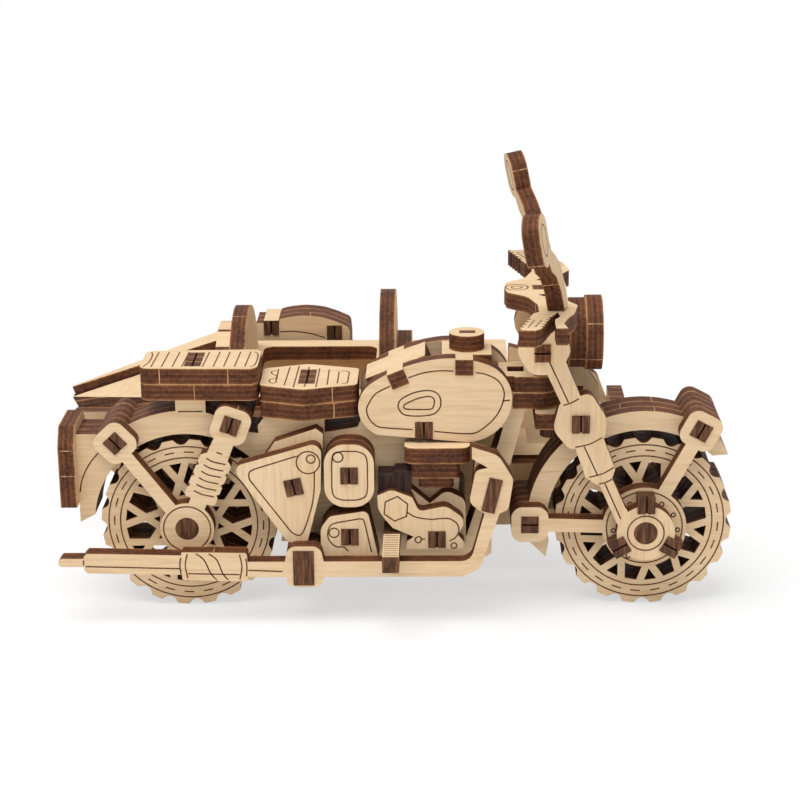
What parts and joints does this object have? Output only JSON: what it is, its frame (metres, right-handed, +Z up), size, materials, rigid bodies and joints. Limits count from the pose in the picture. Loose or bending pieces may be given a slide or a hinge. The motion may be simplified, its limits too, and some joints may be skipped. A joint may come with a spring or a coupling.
{
  "type": "sidecar motorcycle model kit",
  "caption": "Laser-cut plywood construction model of a classic motorcycle with a sidecar: layered plate frame, seats, tank, fork and handlebar that steer, toothed wheels that turn.",
  "frame": {"origin": "middle of the footprint box, on the floor under the tyres", "axes": "+X forward to the front wheel, +Y from the motorcycle to the sidecar, +Z up"},
  "size_m": [0.1692, 0.1344, 0.1066],
  "materials": {
    "birch_ply": "pale birch plywood with laser-scorched edges",
    "round_pegs": "plywood pegs with scorched ends"
  },
  "bodies": {
    "chassis": {"covers_far": "birch_ply", "cylinder_head": "birch_ply", "engine_cover_near": "birch_ply", "exhaust_near": "birch_ply", "filler_cap": "birch_ply", "frame_pegs": "round_pegs", "frame_plate_far": "birch_ply", "frame_plate_middle": "birch_ply", "frame_plate_near": "birch_ply", "gearbox_cover_near": "birch_ply", "head_plate_lower": "birch_ply", "head_plate_middle": "birch_ply", "head_plate_upper": "birch_ply", "oval_cover_near": "birch_ply", "pillion_seat_lower": "birch_ply", "pillion_seat_upper": "birch_ply", "rear_stay_far": "birch_ply", "rear_stay_near": "birch_ply", "rider_seat_lower": "birch_ply", "rider_seat_upper": "birch_ply", "sidecar_backrest": "birch_ply", "sidecar_beam_front": "birch_ply", "sidecar_beam_rear": "birch_ply", "sidecar_deck": "birch_ply", "sidecar_floor": "birch_ply", "sidecar_guard_arch": "birch_ply", "sidecar_guard_panel": "birch_ply", "sidecar_nose_far": "birch_ply", "sidecar_nose_near": "birch_ply", "sidecar_tail": "birch_ply", "sidecar_wall_far": "birch_ply", "sidecar_wall_near": "birch_ply", "sidecar_windscreen": "birch_ply", "tail_board": "birch_ply", "tank_side_far": "birch_ply", "tank_side_near": "birch_ply", "tank_slope": "birch_ply", "tank_top": "birch_ply", "triangle_cover_near": "birch_ply"},
    "fork": {"fender_stay_far": "birch_ply", "fender_stay_near": "birch_ply", "fork_leg_far": "birch_ply", "fork_leg_near": "birch_ply", "fork_pegs": "round_pegs", "front_fender_far": "birch_ply", "front_fender_middle": "birch_ply", "front_fender_near": "birch_ply", "handlebar": "birch_ply", "headlight": "birch_ply", "mirror_far": "birch_ply", "mirror_near": "birch_ply", "steering_pin": "round_pegs", "yoke_lower": "birch_ply", "yoke_upper": "birch_ply"},
    "front_wheel": {"front_axle": "round_pegs", "front_wheel_plates": "birch_ply"},
    "rear_wheel": {"rear_axle": "round_pegs", "rear_wheel_plates": "birch_ply"},
    "sidecar_wheel": {"sidecar_axle": "round_pegs", "sidecar_wheel_plates": "birch_ply"}
  },
  "joints": [
    {"name": "steering", "type": "hinge", "parent": "chassis", "child": "fork", "pos_m": [0.0404, -0.02895, 0.05], "axis": [0, 0, 1], "range_deg": [-18, 18]},
    {"name": "front_wheel_spin", "type": "hinge", "parent": "fork", "child": "front_wheel", "pos_m": [0.0631, -0.02895, 0.0216], "axis": [0, 1, 0], "continuous": true},
    {"name": "rear_wheel_spin", "type": "hinge", "parent": "chassis", "child": "rear_wheel", "pos_m": [-0.0483, -0.02895, 0.0216], "axis": [0, 1, 0], "continuous": true},
    {"name": "sidecar_wheel_spin", "type": "hinge", "parent": "chassis", "child": "sidecar_wheel", "pos_m": [-0.0221, 0.05725, 0.0216], "axis": [0, 1, 0], "continuous": true}
  ]
}
